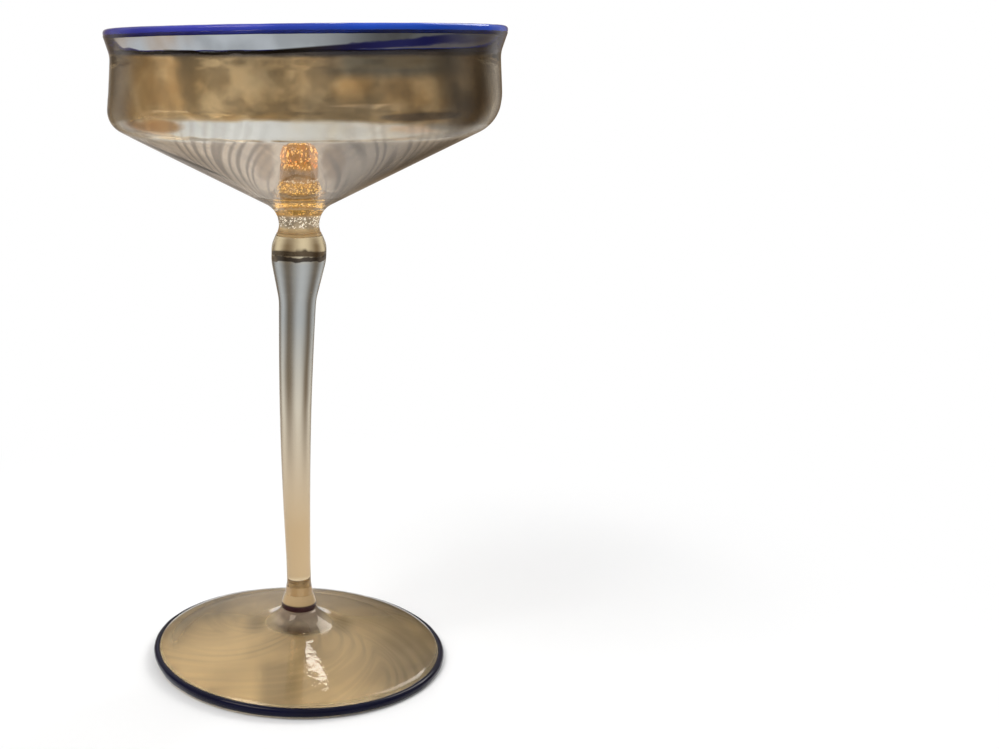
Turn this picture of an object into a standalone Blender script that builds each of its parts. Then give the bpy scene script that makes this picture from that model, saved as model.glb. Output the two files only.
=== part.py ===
"""A hand-blown coupe glass with cobalt threads on its lip and foot, built from its separate gathers of glass.

Metres, +Z up. The glass stands on z = 0 with its axis on Z.
"""

from math import ceil, cos, pi, radians, sin, tan

import bmesh
import bpy
from mathutils import Vector

MM = 0.001

# Overall sizes
GLASS_HEIGHT = 168 * MM
LIP_DIAMETER = 100 * MM
FOOT_DIAMETER = 80 * MM
SEAM = 0.3 * MM

# Threads laid round the lip and the foot, and the arcs of the grooves that they lie in
LIP_THREAD = 0.95 * MM
LIP_SEAT = (radians(225), radians(315))
FOOT_THREAD = 1.05 * MM
FOOT_THREAD_HEIGHT = 1.8 * MM
FOOT_SEAT = (radians(110), radians(235))

# Bowl: a waisted wall over a straight funnel
WALL = 1.5 * MM
WAIST_HEIGHT = 161.5 * MM
WAIST_RADIUS = 48.45 * MM
INNER_WAIST_HEIGHT = 158.8 * MM
BELLY_HEIGHT = 151 * MM
BELLY_RADIUS = 49.2 * MM
TURN_HEIGHT = 145 * MM
TURN_RADIUS = 49.05 * MM
TURN_ROUND = 7 * MM
FUNNEL_PITCH = radians(27)
NECK_RADIUS = 5.2 * MM
NECK_ROUND = 6 * MM
NECK_WAIST = 118.4 * MM
NECK_WAIST_ROUND = 2 * MM
NECK_BOTTOM = 117.3 * MM
NECK_BOTTOM_RADIUS = 5.6 * MM

# Gold-flecked core and the pip of the bowl that cases it
CORE_BOTTOM = 114.5 * MM
CORE_TOP = 139.5 * MM
CORE_FOOT_RADIUS = 3.9 * MM
CORE_HEAD_RADIUS = 3.7 * MM
CORE_ROUND = 3.2 * MM
PIP_WALL = 0.8 * MM
PIP_FILLET = 4.5 * MM

# Amber ring between the neck and the stem
RING_THICKNESS = 0.75 * MM
RING_RADIUS = 5.85 * MM
RING_EDGE = 0.34 * MM

# Stem: a knop that tapers into a long leg
KNOP_HEAD_RADIUS = 6.05 * MM
KNOP_RADIUS = 7.1 * MM
KNOP_SHOULDER = 113.8 * MM
KNOP_SHOULDER_ROUND = 6 * MM
KNOP_BELLY = 109.6 * MM
KNOP_BELLY_ROUND = 12 * MM
LEG_TOP = 99.4 * MM
LEG_TOP_RADIUS = 4.85 * MM
LEG_TOP_ROUND = 16 * MM
LEG_WAIST = 27 * MM
LEG_WAIST_RADIUS = 3.3 * MM
ANKLE_HEIGHT = 20.9 * MM
ANKLE_ROUND = 3.5 * MM
ANKLE_RADIUS = 4.5 * MM

# Amber button between the stem and the foot
BUTTON_HEIGHT = 4 * MM
BUTTON_RADIUS = 4.75 * MM
BUTTON_EDGE = 1.6 * MM

# Foot: a hub on a low cone, hollow below
HUB_HEIGHT = 13.5 * MM
HUB_RADIUS = 4.7 * MM
HUB_SKIRT_RADIUS = 8.2 * MM
HUB_SKIRT_HEIGHT = 9.8 * MM
HUB_ROUND = 9 * MM
REST_OUTER_RADIUS = 39.2 * MM
REST_INNER_RADIUS = 36.9 * MM
REST_CHAMFER = 0.3 * MM
HOLLOW_CENTRE_RADIUS = 7 * MM
HOLLOW_CENTRE_HEIGHT = 7.5 * MM
HOLLOW_CENTRE_ROUND = 6 * MM
PONTIL_RADIUS = 5 * MM
PONTIL_DEPTH = 0.5 * MM

# Facets, and how close two points are that count as one
WIDE_SEGMENTS = 60
SLIM_SEGMENTS = 32
ARC_STEP = radians(20)
THREAD_STEP = radians(40)
SHARP_ANGLE = radians(40)
MERGE_DISTANCE = 0.001 * MM

# Glass, with colours as (red, green, blue), linear
GLASS_IOR = 1.5
CLEAR = (0.68, 0.60, 0.44)
COBALT = (0.012, 0.030, 0.40)
NAVY = (0.006, 0.010, 0.10)
AMBER = (0.66, 0.33, 0.05)
GOLD = (0.78, 0.47, 0.12)


def glass(name, colour, transmission=1.0, roughness=0.03, metallic=0.0):
    """A glass of one colour."""
    material = bpy.data.materials.new(name)
    material.use_nodes = True
    shader = material.node_tree.nodes["Principled BSDF"]
    shader.inputs["Base Color"].default_value = (*colour, 1.0)
    shader.inputs["Transmission Weight"].default_value = transmission
    shader.inputs["Roughness"].default_value = roughness
    shader.inputs["Metallic"].default_value = metallic
    shader.inputs["IOR"].default_value = GLASS_IOR
    material.diffuse_color = (*colour, 1.0)
    return material


def arc(centre, radius, start, end, step=ARC_STEP):
    """Points on a circle in the half plane of the profile, from one angle to another."""
    steps = ceil(abs(end - start) / step)
    angles = [start + (end - start) * i / steps for i in range(steps + 1)]
    return [(centre[0] + radius * cos(a), centre[1] + radius * sin(a)) for a in angles]


def rounded(corners):
    """A profile through corners of (radius, height, round), where each round is the radius of its fillet."""
    points = []
    for i, (x, z, fillet) in enumerate(corners):
        if fillet == 0:
            points.append((x, z))
            continue
        here = Vector((x, z))
        back = (Vector(corners[i - 1][:2]) - here).normalized()
        ahead = (Vector(corners[i + 1][:2]) - here).normalized()
        half = back.angle(ahead) / 2
        centre = here + (back + ahead).normalized() * fillet / sin(half)
        first = here + back * fillet / tan(half)
        sweep = pi - 2 * half
        turn = 1 if back.x * ahead.y - back.y * ahead.x < 0 else -1
        spoke = first - centre
        start = Vector((1, 0)).angle(spoke) * (1 if spoke.y >= 0 else -1)
        points += arc(centre, fillet, start, start + turn * sweep)
    return points


def turned(name, profile, material, segments, ring=False):
    """One closed solid turned round Z from a profile that runs down its outer side."""
    lathe = bmesh.new()
    verts = [lathe.verts.new((x, 0, z)) for x, z in profile]
    pairs = list(zip(verts, verts[1:]))
    if ring:
        pairs.append((verts[-1], verts[0]))
    edges = [lathe.edges.new(pair) for pair in pairs]
    bmesh.ops.spin(lathe, geom=verts + edges, axis=(0, 0, 1), cent=(0, 0, 0), angle=2 * pi, steps=segments)
    bmesh.ops.remove_doubles(lathe, verts=lathe.verts, dist=MERGE_DISTANCE)
    bmesh.ops.recalc_face_normals(lathe, faces=lathe.faces)
    mesh = bpy.data.meshes.new(name)
    lathe.to_mesh(mesh)
    lathe.free()
    mesh.shade_smooth()
    mesh.set_sharp_from_angle(angle=SHARP_ANGLE)
    mesh.materials.append(material)
    piece = bpy.data.objects.new(name, mesh)
    bpy.context.scene.collection.objects.link(piece)


def funnel_height(radius, lift=0.0):
    """Height of the funnel's outer face at a radius, or of a face that lies inside it by lift."""
    return TURN_HEIGHT - (TURN_RADIUS - radius) * tan(FUNNEL_PITCH) + lift / cos(FUNNEL_PITCH)


def lip_thread_centre():
    return LIP_DIAMETER / 2 - LIP_THREAD, GLASS_HEIGHT - LIP_THREAD


def foot_thread_centre():
    return FOOT_DIAMETER / 2 - FOOT_THREAD, FOOT_THREAD_HEIGHT


def core_radius(height):
    """The core's taper."""
    share = (height - CORE_BOTTOM) / (CORE_TOP - CORE_BOTTOM)
    return CORE_FOOT_RADIUS + (CORE_HEAD_RADIUS - CORE_FOOT_RADIUS) * share


def lip_wrap(material):
    circle = arc(lip_thread_centre(), LIP_THREAD, pi / 2, -3 * pi / 2, THREAD_STEP)[:-1]
    turned("lip_wrap", circle, material, WIDE_SEGMENTS, ring=True)


def bowl(material):
    """Inside from the pip to the lip, a groove under the thread, then down the outside to the socket in the neck."""
    seat = arc(lip_thread_centre(), LIP_THREAD + SEAM, *LIP_SEAT, THREAD_STEP)
    socket_top = CORE_TOP + SEAM
    pip_top = socket_top + PIP_WALL
    pip_head = core_radius(CORE_TOP) + SEAM + PIP_WALL
    pip_foot = core_radius(NECK_BOTTOM) + SEAM + PIP_WALL
    inner_turn = TURN_RADIUS - WALL
    inside = rounded(
        [
            (0, pip_top, 0),
            (pip_head, pip_top, CORE_ROUND + SEAM + PIP_WALL),
            (pip_foot, funnel_height(pip_foot, WALL), PIP_FILLET),
            (inner_turn, funnel_height(inner_turn, WALL), TURN_ROUND - WALL),
            (BELLY_RADIUS - WALL, BELLY_HEIGHT, 0),
            (WAIST_RADIUS - WALL, INNER_WAIST_HEIGHT, TURN_ROUND),
            (*seat[0], 0),
        ]
    )
    outside = rounded(
        [
            (*seat[-1], 0),
            (WAIST_RADIUS, WAIST_HEIGHT, TURN_ROUND),
            (BELLY_RADIUS, BELLY_HEIGHT, 0),
            (TURN_RADIUS, TURN_HEIGHT, TURN_ROUND),
            (NECK_RADIUS, funnel_height(NECK_RADIUS), NECK_ROUND),
            (NECK_RADIUS, NECK_WAIST, NECK_WAIST_ROUND),
            (NECK_BOTTOM_RADIUS, NECK_BOTTOM, 0),
            (core_radius(NECK_BOTTOM) + SEAM, NECK_BOTTOM, 0),
            (core_radius(CORE_TOP) + SEAM, socket_top, CORE_ROUND + SEAM),
            (0, socket_top, 0),
        ]
    )
    turned("bowl", inside[:-1] + seat + outside[1:], material, WIDE_SEGMENTS)


def gold_core(material):
    profile = rounded(
        [
            (0, CORE_TOP, 0),
            (CORE_HEAD_RADIUS, CORE_TOP, CORE_ROUND),
            (CORE_FOOT_RADIUS, CORE_BOTTOM, 0),
            (0, CORE_BOTTOM, 0),
        ]
    )
    turned("gold_core", profile, material, SLIM_SEGMENTS)


def disc(name, bore, radius, bottom, height, edge, material):
    """A disc with a rounded rim, pinched between two larger pieces. A bore makes it a ring."""
    profile = rounded(
        [
            (bore, bottom + height, 0),
            (radius, bottom + height, edge),
            (radius, bottom, edge),
            (bore, bottom, 0),
        ]
    )
    turned(name, profile, material, SLIM_SEGMENTS, ring=bore > 0)


def neck_ring(material):
    bottom = NECK_BOTTOM - SEAM - RING_THICKNESS
    bore = core_radius(bottom) + SEAM
    disc("neck_ring", bore, RING_RADIUS, bottom, RING_THICKNESS, RING_EDGE, material)


def stem(material):
    """A socket for the core, the knop, the leg, and a flat ankle that stands on the button."""
    head = NECK_BOTTOM - 2 * SEAM - RING_THICKNESS
    socket_bottom = CORE_BOTTOM - SEAM
    ankle = HUB_HEIGHT + BUTTON_HEIGHT + 2 * SEAM
    profile = rounded(
        [
            (0, socket_bottom, 0),
            (core_radius(CORE_BOTTOM) + SEAM, socket_bottom, 0),
            (core_radius(head) + SEAM, head, 0),
            (KNOP_HEAD_RADIUS, head, 0),
            (KNOP_RADIUS, KNOP_SHOULDER, KNOP_SHOULDER_ROUND),
            (KNOP_RADIUS, KNOP_BELLY, KNOP_BELLY_ROUND),
            (LEG_TOP_RADIUS, LEG_TOP, LEG_TOP_ROUND),
            (LEG_WAIST_RADIUS, LEG_WAIST, 0),
            (LEG_WAIST_RADIUS, ANKLE_HEIGHT, ANKLE_ROUND),
            (ANKLE_RADIUS, ankle, 0),
            (0, ankle, 0),
        ]
    )
    turned("stem", profile, material, SLIM_SEGMENTS)


def foot_ring(material):
    disc("foot_ring", 0, BUTTON_RADIUS, HUB_HEIGHT + SEAM, BUTTON_HEIGHT, BUTTON_EDGE, material)


def foot(material):
    """A flat-topped hub, a low cone, a groove for the thread, a flat ring to stand on and a hollow below."""
    seat = arc(foot_thread_centre(), FOOT_THREAD + SEAM, *FOOT_SEAT, THREAD_STEP)
    top = rounded(
        [
            (0, HUB_HEIGHT, 0),
            (HUB_RADIUS, HUB_HEIGHT, 0),
            (HUB_SKIRT_RADIUS, HUB_SKIRT_HEIGHT, HUB_ROUND),
            (*seat[0], 0),
        ]
    )
    below = rounded(
        [
            (REST_OUTER_RADIUS + REST_CHAMFER, REST_CHAMFER, 0),
            (REST_OUTER_RADIUS, 0, 0),
            (REST_INNER_RADIUS, 0, 0),
            (HOLLOW_CENTRE_RADIUS, HOLLOW_CENTRE_HEIGHT, HOLLOW_CENTRE_ROUND),
            (PONTIL_RADIUS, HOLLOW_CENTRE_HEIGHT, 0),
            (PONTIL_RADIUS - PONTIL_DEPTH, HOLLOW_CENTRE_HEIGHT + PONTIL_DEPTH, 0),
            (0, HOLLOW_CENTRE_HEIGHT + PONTIL_DEPTH, 0),
        ]
    )
    turned("foot", top[:-1] + seat + below, material, WIDE_SEGMENTS)


def foot_wrap(material):
    circle = arc(foot_thread_centre(), FOOT_THREAD, pi / 2, -3 * pi / 2, THREAD_STEP)[:-1]
    turned("foot_wrap", circle, material, WIDE_SEGMENTS, ring=True)


def main():
    for old in list(bpy.data.objects):
        bpy.data.objects.remove(old)
    lip_wrap(glass("lip_cobalt", COBALT, transmission=0.5))
    bowl(glass("bowl_glass", CLEAR))
    gold_core(glass("gold_flecked_glass", GOLD, transmission=0.2, roughness=0.3, metallic=0.6))
    neck_ring(glass("neck_amber", AMBER))
    stem(glass("stem_glass", CLEAR))
    foot_ring(glass("collar_amber", AMBER))
    foot(glass("foot_glass", CLEAR))
    foot_wrap(glass("foot_navy", NAVY, transmission=0.2))


main()
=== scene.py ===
"""Finished pieces of a hand-blown coupe glass: threads, tinted bowl, gold-flecked core, stem and foot."""

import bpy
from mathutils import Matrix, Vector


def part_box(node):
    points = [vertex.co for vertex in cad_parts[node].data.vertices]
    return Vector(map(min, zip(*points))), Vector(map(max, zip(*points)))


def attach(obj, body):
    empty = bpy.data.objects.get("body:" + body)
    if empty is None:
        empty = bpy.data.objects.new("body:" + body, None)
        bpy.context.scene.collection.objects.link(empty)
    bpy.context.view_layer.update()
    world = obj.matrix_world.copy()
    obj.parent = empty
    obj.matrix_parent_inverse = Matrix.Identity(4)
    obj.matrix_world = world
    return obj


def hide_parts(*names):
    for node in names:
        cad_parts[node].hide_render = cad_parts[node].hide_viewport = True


bl_info = {
    "name": "Threaded Coupe Glass",
    "version": (1, 0, 0),
    "blender": (4, 5, 0),
    "location": "View3D > Sidebar > Coupe",
    "description": "Builds the finished pieces of a hand-blown coupe glass over its solids",
    "category": "Add Mesh",
}

from math import ceil, cos, pi, radians, sin, tan

import bmesh
import bpy
from bpy.props import FloatProperty, FloatVectorProperty, IntProperty, PointerProperty
from bpy.types import Operator, Panel, PropertyGroup
from mathutils import Vector

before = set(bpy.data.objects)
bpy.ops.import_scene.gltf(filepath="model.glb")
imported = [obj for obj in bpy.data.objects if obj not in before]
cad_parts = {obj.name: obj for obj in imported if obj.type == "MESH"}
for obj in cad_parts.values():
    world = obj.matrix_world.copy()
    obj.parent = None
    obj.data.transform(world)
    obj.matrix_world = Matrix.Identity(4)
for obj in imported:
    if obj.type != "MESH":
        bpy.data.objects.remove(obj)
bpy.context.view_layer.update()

MM = 0.001
BODY = "root"
PHOTO_WIDTH = 999
WHITE = (1.0, 1.0, 1.0)
GLASS_IOR = 1.5

# How finely a profile is divided, and when points merge and edges are sharp
ARC_STEP = radians(5)
STRAIGHT_STEP = 1.2 * MM
MERGE = 0.001 * MM
SHARP = radians(50)

# Heights over which the bowl leans, the leg bows, and the tilt of the foot sets in and ends
BOWL_LEAN = (139 * MM, 153 * MM)
LEG_BEND = (22 * MM, 112 * MM)
FOOT_REST = (0.2 * MM, 1.2 * MM)
FOOT_NECK = (12 * MM, 8 * MM)

# Width, in the sine of the angle, over which reams that are only in front fade out at the sides
SIDE_FADE = 0.8

# Least size of a scattered fleck, as a share of the largest
LEAST_FLECK = 0.35

# How fine the clouds of each tint are, per metre
FINENESS = {
    "smoke": 34.0,
    "smoke edge": 60.0,
    "cream": 95.0,
    "patch": 80.0,
    "turn": 55.0,
    "lip": 70.0,
    "lip end": 40.0,
    "lip line": 120.0,
    "thread": 25.0,
    "band": 90.0,
    "band edge": 180.0,
    "core": 260.0,
    "foot": 30.0,
}

# Noise levels between which a cloud sets in, and width of a patch's soft edge as a share of the patch
CLOUD_EDGES = (0.42, 0.60)
PATCH_EDGE = 0.9

# Streaks: noise round and along the glass, twist per metre from the axis, and lines per step of the noise.
# The edges are the levels of their wave between which a streak sets in
RIGHT_STREAKS = {"around": 3.4, "along": 5.0, "twist": 16.0, "lines": 9.0}
LEFT_STREAKS = {"around": 3.4, "along": 5.0, "twist": -16.0, "lines": 11.0, "start": 4.0}
FOOT_STREAKS = {"around": 1.4, "along": 26.0, "twist": 40.0, "lines": 9.0}
STREAK_EDGES = (-0.2, 1.0)


def node_box(node):
    """Radius, bottom and top of a turned solid."""
    low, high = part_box(node)
    return high.x, low.z, high.z


LIP_RADIUS, LIP_BOTTOM, LIP_TOP = node_box("lip_wrap")
CORE_RADIUS, CORE_BOTTOM, CORE_TOP = node_box("gold_core")
RING_RADIUS, RING_BOTTOM, RING_TOP = node_box("neck_ring")
KNOP_RADIUS, _, _ = node_box("stem")
BUTTON_RADIUS, _, BUTTON_TOP = node_box("foot_ring")
_, FOOT_BOTTOM, HUB_TOP = node_box("foot")
WRAP_RADIUS, WRAP_BOTTOM, WRAP_TOP = node_box("foot_wrap")


def length(name, description, millimetres):
    return FloatProperty(
        name=name, description=description, default=millimetres * MM, unit="LENGTH", precision=5
    )


def degrees(name, description, value):
    return FloatProperty(name=name, description=description, default=radians(value), subtype="ANGLE")


def slope(name, description, value):
    return FloatProperty(name=name, description=description, default=value, precision=4)


def amount(name, description, value):
    return FloatProperty(name=name, description=description, default=value, min=0.0)


def number(name, description, value, least):
    return IntProperty(name=name, description=description, default=value, min=least)


def spot(name, description, aside, up):
    return FloatVectorProperty(
        name=name, description=description, default=(aside * MM, up * MM), size=2, unit="LENGTH", precision=5
    )


def strength(name, description, value):
    return FloatProperty(
        name=name, description=description, default=value, min=0.0, max=1.0, subtype="FACTOR"
    )


def colour(name, description, value):
    return FloatVectorProperty(
        name=name, description=description, default=value, subtype="COLOR", size=3, min=0.0, max=1.0
    )


class BowlSizes(PropertyGroup):
    """The blown bowl, from its lip down to its neck"""

    wall: length("Wall", "Thickness of the blown wall", 1.5)
    waist_height: length("Waist height", "Height of the narrowest place under the lip", 161.5)
    waist_radius: length("Waist radius", "Outer radius of the waist", 48.45)
    inner_waist_height: length("Inner waist height", "Height where the inside starts to flare", 158.8)
    belly_height: length("Belly height", "Height of the widest place of the wall", 151)
    belly_radius: length("Belly radius", "Outer radius of the belly", 49.2)
    turn_height: length("Turn height", "Height where wall and funnel would meet", 145)
    turn_radius: length("Turn radius", "Radius where wall and funnel would meet", 49.05)
    turn_round: length("Turn round", "Radius of the turn from the wall to the funnel", 7)
    turn_wall: length("Turn wall", "Thickness of the funnel where it meets the turn", 0.95)
    funnel_pitch: degrees("Funnel pitch", "Slope of the funnel", 27)
    neck_radius: length("Neck radius", "Outer radius of the neck", 5.2)
    neck_round: length("Neck round", "Radius of the turn from the funnel to the neck", 6)
    neck_waist: length("Neck waist", "Height of the narrowest place of the neck", 118.4)
    neck_waist_round: length("Neck waist round", "Radius of the neck's waist", 2)
    neck_flare: length("Neck flare", "Radius of the neck where it meets the ring", 5.6)
    pip_foot_radius: length("Pip foot radius", "Radius of the raised pip at its foot", 4.98)
    pip_head_radius: length("Pip head radius", "Radius of the raised pip at its head", 4.8)
    pip_height: length("Pip height", "Height of the top of the pip", 140.6)
    pip_round: length("Pip round", "Radius of the pip's shoulder", 4.3)
    pip_fillet: length("Pip fillet", "Radius between the pip and the funnel", 4.5)
    lip_roll: length("Lip roll", "Radius of the wall's edge under the thread", 0.9)


class BowlMarks(PropertyGroup):
    """Where the tints of the bowl and its painted shade and painted reflections lie, and how strong they are
    """

    soft_edge: length("Soft edge", "Width over which one tint runs into the next", 1)
    ragged: length("Ragged", "How ragged the edges of the tints are", 0.4)
    fold_height: length("Fold height", "Height of the lower edge of the pale turn, at the axis", 140.1)
    fold_tilt: slope("Fold tilt", "How fast that edge drops towards the back", 0.075)
    turn_cloud: strength("Turn cloud", "How warm the clouds in the pale turn are", 0.45)
    patch_ragged: strength("Patch ragged", "How ragged the edges of the patches are", 0.5)
    # Painted reflections: the tan, peach and grey patches on the turn
    tan_place: spot("Tan place", "Middle of the tan patch on the turn, across and up", -33.5, 146.3)
    tan_reach: spot("Tan reach", "Half its length and half its height", 7.5, 1.7)
    tan_depth: strength("Tan depth", "How dense the tan patch is", 0.9)
    peach_place: spot("Peach place", "Middle of the peach patch on the turn, across and up", 27, 146.1)
    peach_reach: spot("Peach reach", "Half its length and half its height", 8, 1.1)
    peach_depth: strength("Peach depth", "How dense the peach patch is", 0.6)
    dove_place: spot("Dove place", "Middle of the grey patch beside the peach one, across and up", 34, 146.8)
    dove_reach: spot("Dove reach", "Half its length and half its height", 5.5, 1.5)
    dove_depth: strength("Dove depth", "How dense the grey patch is", 0.8)
    shadow_place: spot("Shadow place", "Middle of the dark patch over it, across and up", 27, 148.7)
    shadow_reach: spot("Shadow reach", "Half its length and half its height", 11, 0.9)
    shadow_depth: strength("Shadow depth", "How dense the dark patch is", 0.7)
    flank_place: spot("Flank place", "Middle of the brown clouds beside the core, across and up", 8, 138.3)
    flank_reach: spot("Flank reach", "Half their width and half their height", 3.0, 5.5)
    flank_depth: strength("Flank depth", "How dense those clouds are", 0.75)
    core_place: length("Core place", "How far from the axis the funnel's own tint starts", 7.28)
    core_soft: length("Core soft", "Width over which that tint starts", 4.16)
    near_soft: length("Near soft", "Width over which the near side runs into the far side", 10.4)
    fold_calm: strength("Fold calm", "Share of the streaks that fade out above the fold", 0.8)
    streak_depth: strength("Streak depth", "How dense the streaks of the funnel are", 0.85)
    front_width: length("Front width", "Half the width of the clearer glass in front of the core", 7.5)
    front_calm: strength("Front calm", "Share of the streaks that fade out there", 0.75)
    back_calm: strength("Back calm", "Share of the streaks that fade out at the back", 0.6)
    shade_inner: length("Shade inner edge", "Where across the funnel its shaded side starts", 8)
    shade_outer: length("Shade outer edge", "Where across the funnel its shaded side ends", 35)
    shade_depth: strength("Shade depth", "How dark that side is", 0.42)
    smoke_height: length("Smoke height", "Height of the lower edge of the smoke, at the axis", 144.3)
    smoke_tilt: slope("Smoke tilt", "How fast that edge drops towards the back", 0.085)
    smoke_slant: slope("Smoke slant", "How fast that edge drops across the bowl", 0.008)
    smoke_depth: strength("Smoke depth", "How dark the clouds in the wall are", 0.92)
    cream_depth: strength("Cream depth", "How pale the patches in the wall are", 0.5)
    # Painted shade: grey high up on the right side of the wall
    grey_shade_height: length("Soot height", "Height where the wall turns sooty on one side", 157.5)
    grey_shade_rise: length("Soot rise", "Height over which the soot sets in", 3)
    grey_shade_inner: length("Soot inner edge", "Where across the bowl the soot starts", 6)
    grey_shade_outer: length("Soot outer edge", "Where across the bowl the soot ends", 35)
    grey_shade_soft: length("Soot soft", "Width over which the soot starts and ends", 12)
    # Painted shade that darkens the two ends of the wall; end width also bounds the painted line under the
    # lip
    end_width: length("End width", "How far from the axis the wall starts to darken", 39)
    end_soft: length("End soft", "Width over which it darkens", 6)
    left_depth: strength("Left depth", "How dark the left end of the wall is", 0.45)
    right_depth: strength("Right depth", "How dark the right end of the wall is", 0.57)
    lip_height: length("Lip height", "Height where the clearer lip starts", 161.8)
    # The dark line under the lip is a painted image of the far thread seen through the wall
    line_height: length("Line height", "Height of the low end of the dark line under the lip", 162.45)
    line_start: length("Line start", "Where across the bowl that line starts to rise", -13)
    line_slant: slope("Line slant", "How fast the line rises", 0.062)
    line_width: length("Line width", "Half the width of the line at its low end", 0.55)
    line_widening: slope("Line widening", "How fast the line widens", 0.0125)
    lip_shade: strength("Lip shade", "How much darker the lip is where the line is high", 0.6)
    lip_cloud: strength("Lip cloud", "How dark the clouds in the lip are", 0.25)
    lip_warmth: strength("Lip warmth", "How brown the lip is at its other end", 0.7)
    lip_half: length("Lip half", "How far from the axis the lip has changed over", 22)


class CoreSizes(PropertyGroup):
    """The gold-flecked core in the neck"""

    head_radius: length("Head radius", "Radius of the core at its head", 3.7)
    head_round: length("Head round", "Radius of the core's shoulder", 3.2)
    fade_bottom: length("Fade bottom", "Height below which the core melts into the neck", 116)
    fade_top: length("Fade top", "Height from which the core shows in full", 118.2)
    segments: number("Segments", "Sides of the core", 64, 12)
    fleck_tip: slope("Fleck tip", "How far a fleck tips out of the shell of the core, in radians", 0.7)
    cloud_depth: strength("Cloud depth", "How dark the clouds in the core are", 0.4)


class StemSizes(PropertyGroup):
    """The knop and the long leg"""

    head_radius: length("Head radius", "Radius of the knop where it meets the ring", 6.05)
    shoulder_height: length("Shoulder height", "Height of the knop's shoulder", 113.8)
    shoulder_round: length("Shoulder round", "Radius of the knop's shoulder", 6)
    belly_height: length("Knop belly height", "Height of the lower edge of the knop", 109.6)
    belly_round: length("Knop belly round", "Radius of the lower edge of the knop", 12)
    leg_top: length("Leg top", "Height where the knop runs into the leg", 99.4)
    leg_top_radius: length("Leg top radius", "Radius of the leg at its top", 4.85)
    leg_top_round: length("Leg top round", "Radius of the turn from the knop to the leg", 16)
    leg_waist: length("Leg waist", "Height of the thinnest place of the leg", 27)
    leg_waist_radius: length("Leg waist radius", "Radius of the thinnest place of the leg", 3.3)
    ankle_height: length("Ankle height", "Height where the leg flares", 20.9)
    ankle_round: length("Ankle round", "Radius of the flare", 8)
    ankle_radius: length("Ankle radius", "Radius of the foot of the leg", 3.8)
    ankle_pale: length("Ankle pale", "Height of the pale glass over the button", 3.1)
    ankle_soft: length("Ankle soft", "Height over which it runs into the leg", 0.9)
    tan_height: length("Tan height", "Height up to which the leg is tan", 36)
    pale_height: length("Pale height", "Height where the leg is palest", 70)
    grey_height: length("Grey height", "Height from which the leg is grey", 94)
    grey_top: length("Grey top", "Height up to which it stays grey", 109.5)
    knop_tan: length("Knop tan", "Height from which the knop is tan", 111.5)
    band_bottom: length("Band bottom", "Height of the lower edge of the knop's dark band", 110.35)
    band_top: length("Band top", "Height of the upper edge of the band", 111.75)
    band_soft: length("Band soft", "Width over which the band starts and ends", 0.3)
    band_wave: length("Band wave", "How far its edges wander", 0.5)
    ring_edge: length("Ring edge", "Radius of the rim of the amber ring", 0.34)
    button_edge: length("Button edge", "Radius of the upper rim of the amber button", 1.6)
    button_lower_edge: length("Button lower edge", "Radius of the lower rim of the amber button", 0.6)
    # Painted shadow where the button meets the hub
    joint_shadow_share: strength("Rim share", "Share of the button's height that is maroon", 0.38)
    joint_shadow_soft: length("Rim soft", "Height over which the maroon runs into the amber", 0.4)
    overlap: length("Overlap", "How deep the fused pieces run into each other", 0.06)


class FootSizes(PropertyGroup):
    """The spread foot"""

    hub_radius: length("Hub radius", "Radius of the top of the hub", 4.7)
    skirt_radius: length("Skirt radius", "Radius where the hub runs into the cone", 8.2)
    skirt_height: length("Skirt height", "Height where the hub runs into the cone", 9.8)
    skirt_round: length("Skirt round", "Radius of the turn from the hub to the cone", 14)
    edge_height: length("Edge height", "Height of the cone's edge above the table", 3.4)
    rest_outer: length("Rest outer radius", "Outer radius of the ring that the foot stands on", 38.4)
    rest_inner: length("Rest inner radius", "Inner radius of the ring that the foot stands on", 36.4)
    rest_edge: length("Rest edge", "Bevel of that ring's outer edge", 0.3)
    hollow_centre_radius: length("Hollow centre radius", "Radius of the flat centre of the hollow", 7)
    hollow_centre_height: length("Hollow centre height", "Height of the flat centre of the hollow", 7.5)
    hollow_centre_round: length("Hollow centre round", "Radius of the turn to the flat centre", 36)
    hub_shade: length("Hub shade", "How far from the axis the dark hub reaches", 7.2)
    hub_soft: length("Hub soft", "Width over which it runs into the cone", 3)
    shade_place: length("Shade place", "How far across the cone its shaded side starts", 20)
    shade_depth: strength("Shade depth", "How dark that side is", 0.3)
    cloud_depth: strength("Cloud depth", "How dark the clouds in the foot are", 0.15)
    streak_depth: strength("Streak depth", "How dark the streaks in the foot are", 0.12)
    # Painted shade: two dark marks beside the hub; their width also sets the painted shade of the leg in
    # front
    shade_mark_width: length("Pinch width", "Width of the two dark marks beside the hub", 5)
    shade_mark_reach: length("Pinch reach", "How far from the axis those marks reach", 14)
    shade_mark_depth: strength("Pinch depth", "How dark those marks are", 0.45)
    # Painted shade on the far side of the cone
    back_depth: strength("Back depth", "How dark the far side of the cone is", 0.12)
    leg_depth: strength("Leg depth", "How dark the shade of the leg is in front", 0.28)
    skin: length("Skin", "Depth below the cone at which the ground underside starts", 1.3)
    frost: strength("Frost", "Roughness of the ground underside", 0.4)


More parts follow.
